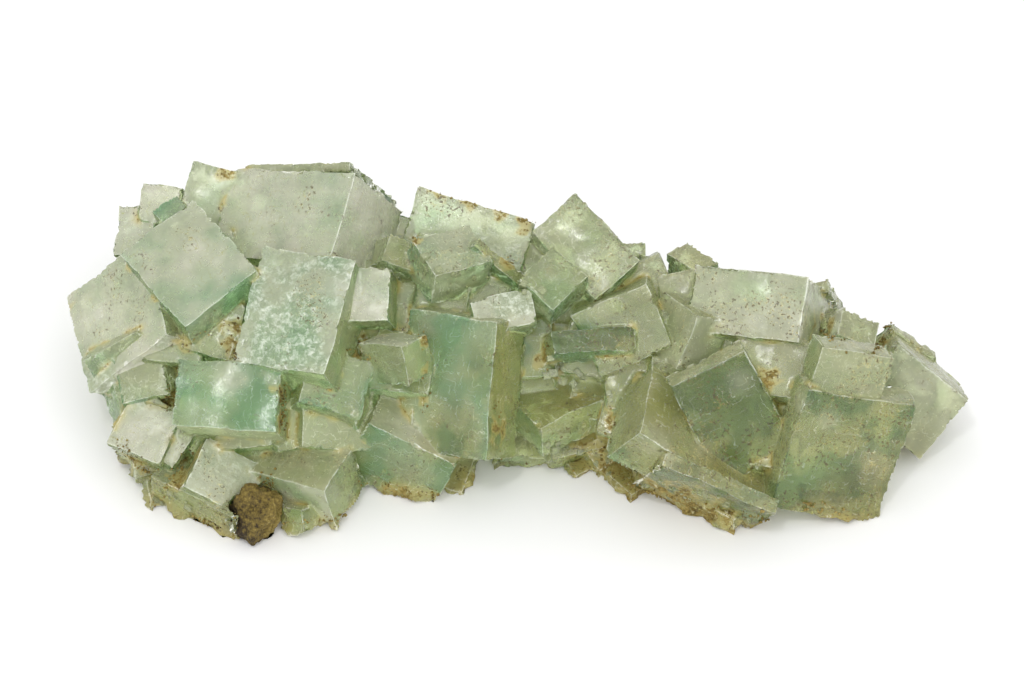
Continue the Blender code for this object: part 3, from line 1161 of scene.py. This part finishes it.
    def paint(
        self, skin: Facets, tones: dict[Mark, Array], outer: Array, inner: Array, bend: Array, tree: BVHTree
    ) -> dict[Mark, Array]:
        """Works out the marks at every corner of every triangle.

        Args:
            skin: the facets.
            tones: the pigments of each flat.
            outer: each point's distance to the nearest outer edge, in mm.
            inner: each point's distance to the nearest crevice, in mm.
            bend: the fold at each point.
            tree: the solid, for finding where a stroke lands.

        Returns:
            For each mark, its amounts.
        """
        points = skin.points
        patch = self.patches.at(points)
        low = ramp(points[:, 2] / MM, 14, 1)
        far = ramp(points[:, 0] / MM, -15, 35)
        ragged = np.clip(1.0 + 1.1 * self.ragged.at(points), 0.25, 2.0)
        seam = 0.85 * np.exp(-inner / 1.3) * ramp(self.seams.at(points), -0.1, 0.6)
        foot = ramp(points[:, 2] / MM, 6.0, 0.3) * (0.6 + 0.55 * patch)
        added = {
            Mark.VEIL: 0.5 + 0.5 * self.veils.at(points),
            Mark.DIRT: 0.45 + far * 0.15 + low * 0.1 + 0.5 * self.dirt.at(points),
            Mark.HAZE: patch * 0.15 - low * 0.2,
            Mark.DEEP: patch * 0.15,
            Mark.OLIVE: low * 0.35 + far * 0.2 + 0.2 * np.exp(-inner / 3.0) * ramp(patch, -0.2, 0.5),
            Mark.GLINT: np.zeros(len(points)),
            Mark.EDGE: np.full(len(points), 0.8),
            Mark.CLAY: np.maximum(seam, foot),
        }
        for mark, strokes in STROKES.items():
            for stroke in strokes:
                centre = self.station.landing(stroke.across, stroke.down, tree)[0]
                if centre is None:
                    LOG.warning("a stroke of %s lands nowhere: %s", mark.value, stroke)
                    continue
                gap = np.linalg.norm(points - np.array(centre), axis=1) / MM
                reach = stroke.reach * (ragged if mark in (Mark.CLAY, Mark.DIRT) else 1.0)
                added[mark] = added[mark] + stroke.amount * ramp(gap / reach, 1.0, 0.3)
        # Only the sharper outer folds keep the painted edge highlight.
        added[Mark.EDGE] = np.where(bend > self.fold_highlit, added[Mark.EDGE], 0.0)
        marks = {}
        for mark, amounts in added.items():
            marks[mark] = amounts[skin.faces]
            if mark in tones:
                marks[mark] = marks[mark] + tones[mark][skin.flats][:, None]
        return marks


def terraces(local: Array, homes: Array, cell: float) -> Array:
    """The level of the growth terrace at each point, with outlines square to the grain of its flat.

    Args:
        local: the place of each point in its flat, in mm.
        homes: the flat that each lies on.
        cell: the width of a terrace, in mm.

    Returns:
        Levels from 0 to 1.
    """
    place = local / cell + np.stack([homes * 0.37, homes * 0.71], axis=1)
    base = np.floor(place)
    best = np.full(len(place), 1e9)
    level = np.zeros(len(place))
    for i in (-1, 0, 1):
        for j in (-1, 0, 1):
            corner = base + (i, j)
            seed = corner[:, 0] * 127.1 + corner[:, 1] * 311.7 + homes * 7.3
            jitter = np.stack([np.sin(seed) * 43758.5 % 1, np.sin(seed + 1.3) * 24634.6 % 1], axis=1)
            gap = np.abs(corner + jitter - place).max(axis=1)
            nearer = gap < best
            best = np.where(nearer, gap, best)
            level = np.where(nearer, np.floor(np.sin(seed + 4.1) * 9631.7 % 1 * 4) / 3, level)
    return level


# Most tones are a flat's own pigments; some give flats in shade extra haze, as painted light, and flats in
# recesses or facing down extra depth and moss, as painted shade.
TONES: tuple[Tone, ...] = (
    Tone(110, 300, haze=0.7, olive=0.05),
    Tone(115, 375, haze=1.0, glint=0.9),
    Tone(140, 430, haze=0.75, olive=0.05),
    Tone(185, 440, haze=0.45, olive=0.2),
    Tone(205, 475, haze=0.65, olive=0.05, glint=0.4),
    Tone(170, 500, haze=0.1, olive=0.6),
    Tone(200, 250, haze=0.6, deep=0.22),
    Tone(225, 310, haze=0.3, deep=0.4, olive=0.1),
    Tone(215, 190, haze=0.45),
    Tone(310, 220, haze=0.7, deep=0.1),
    Tone(370, 230, haze=1.0),
    Tone(160, 200, haze=0.8),
    Tone(135, 235, haze=0.8),
    Tone(165, 212, haze=0.2, deep=0.6),
    Tone(300, 320, haze=0.5, deep=0.35, glint=1.0),
    Tone(348, 290, haze=0.7, deep=0.2, glint=0.5),
    Tone(375, 290, haze=0.22, deep=0.4, glint=0.8),
    Tone(230, 400, haze=0.12, deep=0.8, olive=0.2),
    Tone(230, 437, haze=0.3, olive=0.3),
    Tone(320, 395, haze=0.2, deep=0.45, olive=0.3),
    Tone(300, 460, haze=0.35, olive=0.55),
    Tone(300, 500, haze=0.45, deep=0.1, olive=0.3),
    Tone(290, 500, haze=0.7, deep=0.2, olive=0.2),
    Tone(320, 505, haze=0.55, deep=0.2, olive=0.2),
    Tone(345, 480, haze=0.15, deep=0.5, olive=0.3),
    Tone(330, 370, haze=0.1, deep=0.3, olive=0.4),
    Tone(370, 340, haze=0.7, deep=0.1, olive=0.2),
    Tone(362, 320, haze=0.7, deep=0.1, olive=0.1),
    Tone(400, 410, haze=0.35, olive=0.25),
    Tone(400, 455, deep=0.5, olive=0.1),
    Tone(450, 360, haze=0.14, deep=0.45, olive=0.12),
    Tone(510, 400, deep=0.35, olive=0.7),
    Tone(500, 310, haze=0.6, glint=0.9),
    Tone(405, 240, haze=0.1, olive=0.5),
    Tone(440, 250, haze=0.3, olive=0.1),
    Tone(430, 285, haze=0.25, deep=0.35, olive=0.2),
    Tone(460, 290, haze=0.25, deep=0.35, olive=0.2),
    Tone(500, 262, haze=0.1, olive=0.6),
    Tone(460, 210, haze=0.4, deep=0.2, olive=0.25, glint=0.3),
    Tone(580, 230, haze=0.2, olive=0.25),
    Tone(552, 285, deep=0.3, olive=0.3),
    Tone(540, 312, deep=0.5, olive=0.3),
    Tone(620, 320, haze=0.15, olive=0.3),
    Tone(690, 340, haze=0.45, olive=0.12),
    Tone(670, 330, haze=0.3, olive=0.15),
    Tone(570, 345, deep=1.0, olive=0.9),
    Tone(595, 345, deep=1.0, olive=0.9),
    Tone(532, 345, deep=0.8, olive=0.7),
    Tone(585, 400, deep=0.2, olive=0.6),
    Tone(710, 400, deep=1.1, olive=0.95),
    Tone(690, 430, haze=0.1, olive=0.5),
    Tone(700, 475, haze=0.15, deep=0.3, olive=0.35),
    Tone(690, 255, haze=0.25, olive=0.6),
    Tone(700, 500, deep=0.9, olive=0.9),
    Tone(730, 508, deep=0.9, olive=0.9),
    Tone(616, 383, deep=0.3, olive=0.7),
    Tone(607, 425, deep=0.3, olive=0.7),
    Tone(552, 350, deep=0.3, olive=0.6),
    Tone(420, 385, deep=0.3, olive=0.4),
    Tone(405, 392, deep=0.3, olive=0.4),
    Tone(555, 385, deep=0.2, olive=0.5),
    Tone(590, 385, deep=0.2, olive=0.5),
    Tone(785, 355, haze=0.2, olive=0.45),
    Tone(765, 350, haze=0.2, olive=0.45),
    Tone(775, 400, haze=0.1, deep=0.2, olive=0.5),
    Tone(750, 300, haze=0.5, olive=0.05),
    Tone(820, 300, haze=0.6, olive=0.05),
    Tone(830, 315, haze=0.7, olive=0.05),
    Tone(930, 390, haze=0.45, olive=0.1),
    Tone(850, 360, haze=0.3, olive=0.35),
    Tone(860, 440, haze=0.0, deep=0.55, olive=0.6),
    Tone(870, 395, haze=0.3, olive=0.3),
)

STROKES: dict[Mark, tuple[Stroke, ...]] = {
    # These EDGE strokes brighten chosen edges: painted highlight.
    Mark.EDGE: (
        Stroke(352, 180, 4, 0.5),
        Stroke(346, 205, 4, 0.5),
        Stroke(338, 235, 4, 0.5),
        Stroke(332, 258, 4, 0.5),
        Stroke(328, 490, 3, 0.4),
        Stroke(338, 470, 3, 0.4),
        Stroke(385, 430, 4, 0.4),
        Stroke(430, 452, 4, 0.4),
        Stroke(650, 295, 3, 0.4),
        Stroke(662, 320, 3, 0.4),
        Stroke(750, 362, 3, 0.4),
        Stroke(760, 385, 3, 0.4),
        Stroke(804, 290, 4, 0.5),
        Stroke(800, 325, 4, 0.5),
        Stroke(645, 438, 3, 0.4),
        Stroke(665, 445, 3, 0.4),
    ),
    # VEIL strokes deepen the body and let painted glints show; those at 580, 342 and 712, 408 deepen a
    # recess and a down-facing block as painted shade.
    Mark.VEIL: (
        Stroke(110, 385, 9, 0.4),
        Stroke(300, 350, 8, 0.3),
        Stroke(510, 305, 6, 0.4),
        Stroke(805, 400, 6, 0.4),
        Stroke(580, 342, 9, 0.4),
        Stroke(712, 408, 9, 0.35),
    ),
    # Some DEEP strokes darken recesses and down-facing faces, as at 590, 345 and 712, 408: painted shade.
    Mark.DEEP: (
        Stroke(450, 435, 8, 0.35),
        Stroke(712, 408, 8, 0.6),
        Stroke(215, 285, 9, 0.5),
        Stroke(330, 300, 6, 0.4),
        Stroke(250, 410, 8, 0.3),
        Stroke(470, 340, 8, 0.3),
        Stroke(590, 345, 7, 1.0),
        Stroke(720, 375, 7, 0.3),
        Stroke(790, 480, 8, 0.3),
    ),
    # Several HAZE strokes lighten faces that lie in shade, such as at 370, 340 and 290, 502: painted light.
    Mark.HAZE: (
        Stroke(235, 375, 6, 0.25),
        Stroke(410, 425, 6, 0.2),
        Stroke(870, 470, 8, 0.25),
        Stroke(800, 400, 4, 0.5),
        Stroke(830, 420, 4, 0.4),
        Stroke(660, 445, 6, 0.25),
        Stroke(370, 340, 4, 0.4),
        Stroke(290, 502, 5, 0.5),
        Stroke(740, 380, 5, 0.35),
        Stroke(365, 235, 9, 0.3),
        Stroke(350, 290, 6, 0.3),
        Stroke(700, 435, 8, 0.15),
    ),
    Mark.OLIVE: (
        Stroke(450, 435, 10, 0.8),
        Stroke(690, 490, 14, 0.4),
        Stroke(610, 470, 12, 0.4),
        Stroke(490, 370, 8, 0.4),
        Stroke(655, 405, 8, 0.3),
        Stroke(640, 455, 8, 0.3),
        Stroke(870, 500, 12, 0.3),
        Stroke(400, 230, 6, 0.3),
        Stroke(560, 430, 12, 0.3),
    ),
    Mark.DIRT: (
        Stroke(700, 445, 10, 0.5),
        Stroke(725, 470, 8, 0.4),
        Stroke(850, 440, 16, 0.25),
        Stroke(780, 300, 9, 0.25),
        Stroke(660, 270, 8, 0.2),
        Stroke(870, 350, 8, 0.2),
        Stroke(600, 270, 8, 0.12),
        Stroke(120, 300, 9, 0.14),
        Stroke(290, 460, 7, 0.15),
        Stroke(400, 470, 9, 0.22),
        Stroke(690, 490, 14, 0.25),
        Stroke(190, 510, 12, 0.25),
        Stroke(450, 340, 8, 0.1),
        Stroke(450, 212, 8, 0.2),
        Stroke(115, 375, 8, -0.4),
        Stroke(365, 230, 9, -0.3),
        Stroke(320, 215, 9, -0.1),
        Stroke(240, 520, 5, 0.5),
    ),
    # GLINT strokes lay painted glints and break the relief there.
    Mark.GLINT: (
        Stroke(288, 370, 3, 0.8),
        Stroke(105, 385, 9, 0.6),
        Stroke(140, 390, 6, 0.5),
        Stroke(800, 400, 3, 0.6),
        Stroke(655, 455, 3, 0.5),
    ),
    Mark.CLAY: (
        Stroke(282, 395, 3, 1.0),
        Stroke(281, 420, 3, 1.0),
        Stroke(168, 400, 3, 1.0),
        Stroke(232, 350, 3, 0.9),
        Stroke(240, 330, 2, 0.7),
        Stroke(185, 345, 3, 0.7),
        Stroke(358, 354, 3, 0.9),
        Stroke(425, 340, 2, 0.9),
        Stroke(424, 370, 2, 0.8),
        Stroke(425, 400, 2, 0.8),
        Stroke(605, 440, 7, 0.7),
        Stroke(612, 415, 3, 0.8),
        Stroke(765, 380, 4, 0.9),
        Stroke(825, 330, 4, 0.9),
        Stroke(882, 340, 3, 0.9),
        Stroke(415, 240, 2, 0.9),
        Stroke(508, 262, 3, 0.9),
        Stroke(228, 172, 3, 0.8),
        Stroke(440, 194, 2.5, 0.8),
        Stroke(470, 203, 2.5, 0.8),
        Stroke(500, 212, 3, 0.9),
        Stroke(522, 219, 3, 0.9),
        Stroke(70, 310, 3, 0.5),
        Stroke(497, 430, 3, 0.8),
        Stroke(546, 360, 3, 0.8),
        Stroke(198, 455, 3, 0.8),
        Stroke(180, 480, 4, 0.9),
        Stroke(135, 460, 4, 0.8),
        Stroke(262, 488, 4, 0.8),
        Stroke(240, 528, 5, 0.6),
        Stroke(272, 512, 4, 0.6),
        Stroke(700, 505, 12, 0.6),
        Stroke(660, 490, 8, 0.5),
        Stroke(620, 485, 10, 0.35),
        Stroke(500, 410, 7, 0.35),
        Stroke(400, 485, 8, 0.3),
    ),
}


@dataclass
class MatrixLump:
    """The lump of host rock at the cluster's foot."""

    node: str = "matrix_lump"
    step: float = 0.0004
    knobs: Waves = Waves(7.0, 5.0, 4)
    knob_height: float = 2.4
    grit: Waves = Waves(1.1, 9.0, 3)
    grit_height: float = 0.5
    spread: float = -0.1

    def build(self) -> Any:
        """Makes the lump as an object.

        Returns:
            The object, which stands for the CAD node.
        """
        shape = Facets.of_mesh(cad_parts[self.node].data)
        shape.refine(np.full(len(shape.normals), self.step), 1.0)
        normals = shape.point_normals()
        height = self.knobs.at(shape.points) * self.knob_height
        height = height + self.grit.at(shape.points) * self.grit_height + self.spread
        moved = shape.points + normals * (height * MM)[:, None]
        made = mesh_object("matrix", grounded(moved, shape.points), shape.faces)
        across = shape.points[:, 0] / MM
        # The DIRT attribute on the lump only makes it darker towards the left.
        paint_mark(made, Mark.DIRT, "POINT", ramp(across, across.max(), across.min()))
        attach(made, "root")
        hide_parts(self.node)
        return made


@dataclass(frozen=True)
class Drift:
    """A run of small pieces along a line on the grid: its ends, its count, how far they stray, their mm."""

    across: tuple[float, float]
    down: tuple[float, float]
    count: int
    stray: float = 4.0
    size: float = 0.4


@dataclass
class Crumbs:
    """Small pieces that sit on the skin: crumbs of clay, or sugary little crystals."""

    station: Station
    name: str
    slot: str
    drifts: tuple[Drift, ...]
    cubic: bool
    seed: int
    sunk: float = 0.3
    least: float = 0.35
    spread: float = 1.3
    marks: tuple[tuple[Mark, float], ...] = (
        (Mark.HAZE, 0.2),
        (Mark.OLIVE, 0.4),
        (Mark.DEEP, 0.2),
        (Mark.VEIL, 0.5),
        (Mark.DIRT, 0.5),
    )

    def build(self) -> Any:
        """Makes all the pieces as one object.

        Returns:
            The object.
        """
        chance = np.random.default_rng(self.seed)
        solid = Facets.of_mesh(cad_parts["crystal_cluster"].data)
        tree = BVHTree.FromPolygons(solid.points.tolist(), solid.faces.tolist())
        shape = self.shape()
        points, faces, count = [], [], 0
        for drift in self.drifts:
            for _ in range(drift.count):
                share = chance.random()
                stray = chance.normal(0, drift.stray / 2, 2)
                across = drift.across[0] + (drift.across[1] - drift.across[0]) * share + stray[0]
                down = drift.down[0] + (drift.down[1] - drift.down[0]) * share + stray[1]
                size = drift.size * MM * (self.least + chance.random() ** 2 * self.spread)
                spin = chance.random(3)
                centre, normal, face, _ = self.station.landing(across, down, tree)
                if centre is None or centre.z < size * 0.4:
                    continue
                piece = self.piece(shape[0], size, spin, solid, solid.flats[face])
                points.append(piece + np.array(centre + normal * size * (0.5 - self.sunk)))
                faces.append(shape[1] + count)
                count += len(piece)
        made = mesh_object(self.name, np.concatenate(points), np.concatenate(faces))
        if self.cubic:
            made.data.shade_flat()
            for mark, amount in self.marks:
                paint_mark(made, mark, "POINT", np.full(count, amount))
        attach(made, "root")
        return made

    def shape(self) -> tuple[Array, Array]:
        """Makes the plain piece.

        Returns:
            Its points and its triangles, one unit across, in an order that is always the same.
        """
        shape = bmesh.new()
        if self.cubic:
            bmesh.ops.create_cube(shape, size=1.0)
            bmesh.ops.bevel(
                shape, geom=shape.edges[:], offset=0.06, segments=1, affect="EDGES", profile=0.5
            )
        else:
            bmesh.ops.create_icosphere(shape, subdivisions=1, radius=0.5)
        bmesh.ops.triangulate(shape, faces=shape.faces)
        shape.verts.ensure_lookup_table()
        points = np.array([tuple(vert.co) for vert in shape.verts])
        faces = np.array([[vert.index for vert in face.verts] for face in shape.faces])
        shape.free()
        turned = (faces.argmin(axis=1)[:, None] + np.arange(3)) % 3
        faces = np.take_along_axis(faces, turned, axis=1)
        return points, faces[np.lexsort(faces.T[::-1])]

    def piece(self, points: Array, size: float, spin: Array, solid: Facets, flat: int) -> Array:
        """One piece, shaped and turned by chance.

        Args:
            points: the plain piece.
            size: its width in metres.
            spin: three random numbers.
            solid: the facets it sits on.
            flat: the flat it sits on.

        Returns:
            Its points about its own middle.
        """
        if not self.cubic:
            knobs = cloud(points, 0.55, float(spin[0]) * 50)
            squash = np.array((0.7 + spin[0] * 0.6, 0.7 + spin[1] * 0.6, 0.6 + spin[2] * 0.5))
            return points * squash * (1 + knobs * 0.9)[:, None] * size
        first = solid.axes[flat]
        normal = solid.normals[flat]
        turn = (spin[0] - 0.5) * (0.25 if spin[1] < 0.7 else 1.6)
        second = np.cross(normal, first)
        along = first * math.cos(turn) + second * math.sin(turn)
        axes = np.stack([along, np.cross(normal, along), normal + first * (spin[2] - 0.5) * 0.3])
        return (points * (0.7 + spin * 0.7) * size) @ axes


CLAY_DRIFTS: tuple[Drift, ...] = (
    Drift((282, 284), (386, 428), 70, 4, 0.45),
    Drift((168, 168), (386, 410), 40, 4, 0.4),
    Drift((226, 236), (342, 360), 40, 5, 0.4),
    Drift((240, 228), (320, 350), 26, 3, 0.35),
    Drift((175, 205), (346, 334), 30, 5, 0.35),
    Drift((345, 374), (350, 358), 36, 4, 0.35),
    Drift((270, 240), (480, 520), 160, 10, 0.45),
    Drift((158, 196), (500, 442), 70, 5, 0.4),
    Drift((121, 150), (445, 475), 90, 7, 0.35),
    Drift((150, 240), (505, 532), 110, 5, 0.4),
    Drift((285, 345), (525, 515), 70, 5, 0.4),
    Drift((360, 450), (482, 496), 80, 5, 0.4),
    Drift((424, 426), (330, 412), 40, 4, 0.35),
    Drift((496, 500), (400, 460), 60, 4, 0.35),
    Drift((500, 600), (462, 474), 60, 4, 0.4),
    Drift((618, 600), (405, 460), 70, 4, 0.4),
    Drift((602, 640), (465, 492), 80, 5, 0.45),
    Drift((640, 770), (492, 520), 190, 5, 0.45),
    Drift((762, 770), (370, 392), 30, 4, 0.35),
    Drift((815, 842), (326, 345), 50, 5, 0.4),
    Drift((893, 872), (322, 356), 50, 3, 0.4),
    Drift((805, 880), (503, 520), 80, 5, 0.4),
    Drift((415, 420), (236, 246), 16, 4, 0.35),
    Drift((508, 512), (258, 268), 16, 4, 0.35),
    Drift((430, 540), (190, 224), 60, 3, 0.35),
    Drift((546, 546), (340, 378), 30, 4, 0.35),
)

SUGAR_DRIFTS: tuple[Drift, ...] = (
    Drift((540, 620), (365, 400), 24, 12, 1.1),
    Drift((410, 560), (262, 300), 24, 12, 1.0),
    Drift((500, 610), (430, 462), 20, 8, 1.0),
    Drift((600, 740), (470, 505), 20, 8, 0.9),
    Drift((120, 240), (480, 522), 20, 8, 0.9),
)


@dataclass(frozen=True)
class FloorFinish:
    """A pale studio sweep."""

    colour: Colour = (0.9, 0.9, 0.9)
    rough: float = 0.9

    def material(self) -> Any:
        """The floor's material."""
        sheet = Sheet("floor")
        return sheet.finish(sheet.shader({"Base Color": self.colour, "Roughness": self.rough}))


@dataclass(frozen=True)
class Lamp:
    """A soft square lamp: where it hangs, its width in metres, its watts and whether gloss shows it."""

    name: str
    place: tuple[float, float, float]
    side: float
    power: float
    glossy: bool = True

    def hang(self) -> None:
        """Hangs the lamp, turned to the cluster."""
        data = bpy.data.lights.new(self.name, "AREA")
        data.shape = "SQUARE"
        data.size = self.side
        data.energy = self.power
        made = bpy.data.objects.new(self.name, data)
        made.location = self.place
        made.rotation_euler = (-Vector(self.place)).to_track_quat("-Z", "Y").to_euler()
        made.visible_glossy = self.glossy
        bpy.context.scene.collection.objects.link(made)


LAMPS: tuple[Lamp, ...] = (
    Lamp("overhead", (-0.6, 0.8, 0.85), 1.0, 1.4, glossy=False),
    Lamp("front", (0.12, -0.8, 0.95), 1.2, 5.0),
    Lamp("glint", (-0.16, -0.5, 1.05), 0.1, 1.6),
)


@dataclass(frozen=True)
class Studio:
    """The floor, the lamps and the camera."""

    station: Station
    lamps: tuple[Lamp, ...] = LAMPS
    room_light: float = 0.97
    clear_bounces: int = 8
    soft_bounces: int = 3
    sensor: float = 36.0
    view_width: float = 0.2048
    floor_side: float = 8.0
    floor_drop: float = 0.00005

    def build(self) -> None:
        """Sets the studio up."""
        self.floor()
        self.light()
        self.camera()
        view = bpy.context.scene.view_settings
        view.view_transform = "Standard"
        view.look = "None"
        view.exposure = 0.0

    def floor(self) -> None:
        """Lays the floor."""
        half = self.floor_side / 2
        corners = np.array([(-half, -half, 0.0), (half, -half, 0.0), (half, half, 0.0), (-half, half, 0.0)])
        made = mesh_object("floor", corners - (0, 0, self.floor_drop), np.array([(0, 1, 2), (0, 2, 3)]))
        made.data.materials.append(FloorFinish().material())

    def light(self) -> None:
        """Hangs the lamps in a pale room."""
        for lamp in self.lamps:
            lamp.hang()
        world = bpy.data.worlds.new("room")
        world.use_nodes = True
        room = world.node_tree.nodes["Background"].inputs
        room["Color"].default_value = (1, 1, 1, 1)
        room["Strength"].default_value = self.room_light
        bpy.context.scene.world = world
        cycles = bpy.context.scene.cycles
        cycles.max_bounces = self.clear_bounces
        cycles.diffuse_bounces = self.soft_bounces
        cycles.glossy_bounces = self.soft_bounces
        cycles.transmission_bounces = self.clear_bounces

    def camera(self) -> None:
        """Sets the camera up at the station."""
        data = bpy.data.cameras.new("camera")
        data.sensor_width = self.sensor
        data.lens = self.sensor * self.station.distance / self.view_width
        data.clip_end = 20.0
        made = bpy.data.objects.new("camera", data)
        made.location = self.station.eye()
        made.rotation_euler = (-self.station.towards()).to_track_quat("-Z", "Y").to_euler()
        bpy.context.scene.collection.objects.link(made)
        bpy.context.scene.camera = made


def dress(made: Any, skin: Any) -> None:
    """Gives a piece its material and logs its size.

    Args:
        made: the piece.
        skin: the material.
    """
    made.data.materials.append(skin)
    LOG.info("%s: %d triangles", made.name, len(made.data.polygons))


def main() -> None:
    """Builds the cluster and its studio in order."""
    logging.basicConfig(level=logging.INFO, format="%(name)s: %(message)s")
    station = Station()
    clay = ClayFinish()
    crystal_skin = CrystalFinish().material("crystal_skin", clay)
    matrix_skin = clay.material("matrix_skin")
    dress(CrystalSkin(station).build(), crystal_skin)
    dress(MatrixLump().build(), matrix_skin)
    dress(Crumbs(station, "clay_crumbs", "matrix", CLAY_DRIFTS, False, 3).build(), matrix_skin)
    dress(Crumbs(station, "sugar_crystals", "crystal", SUGAR_DRIFTS, True, 8, 0.6).build(), crystal_skin)
    Studio(station).build()
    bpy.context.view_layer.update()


if __name__ == "__main__":
    main()
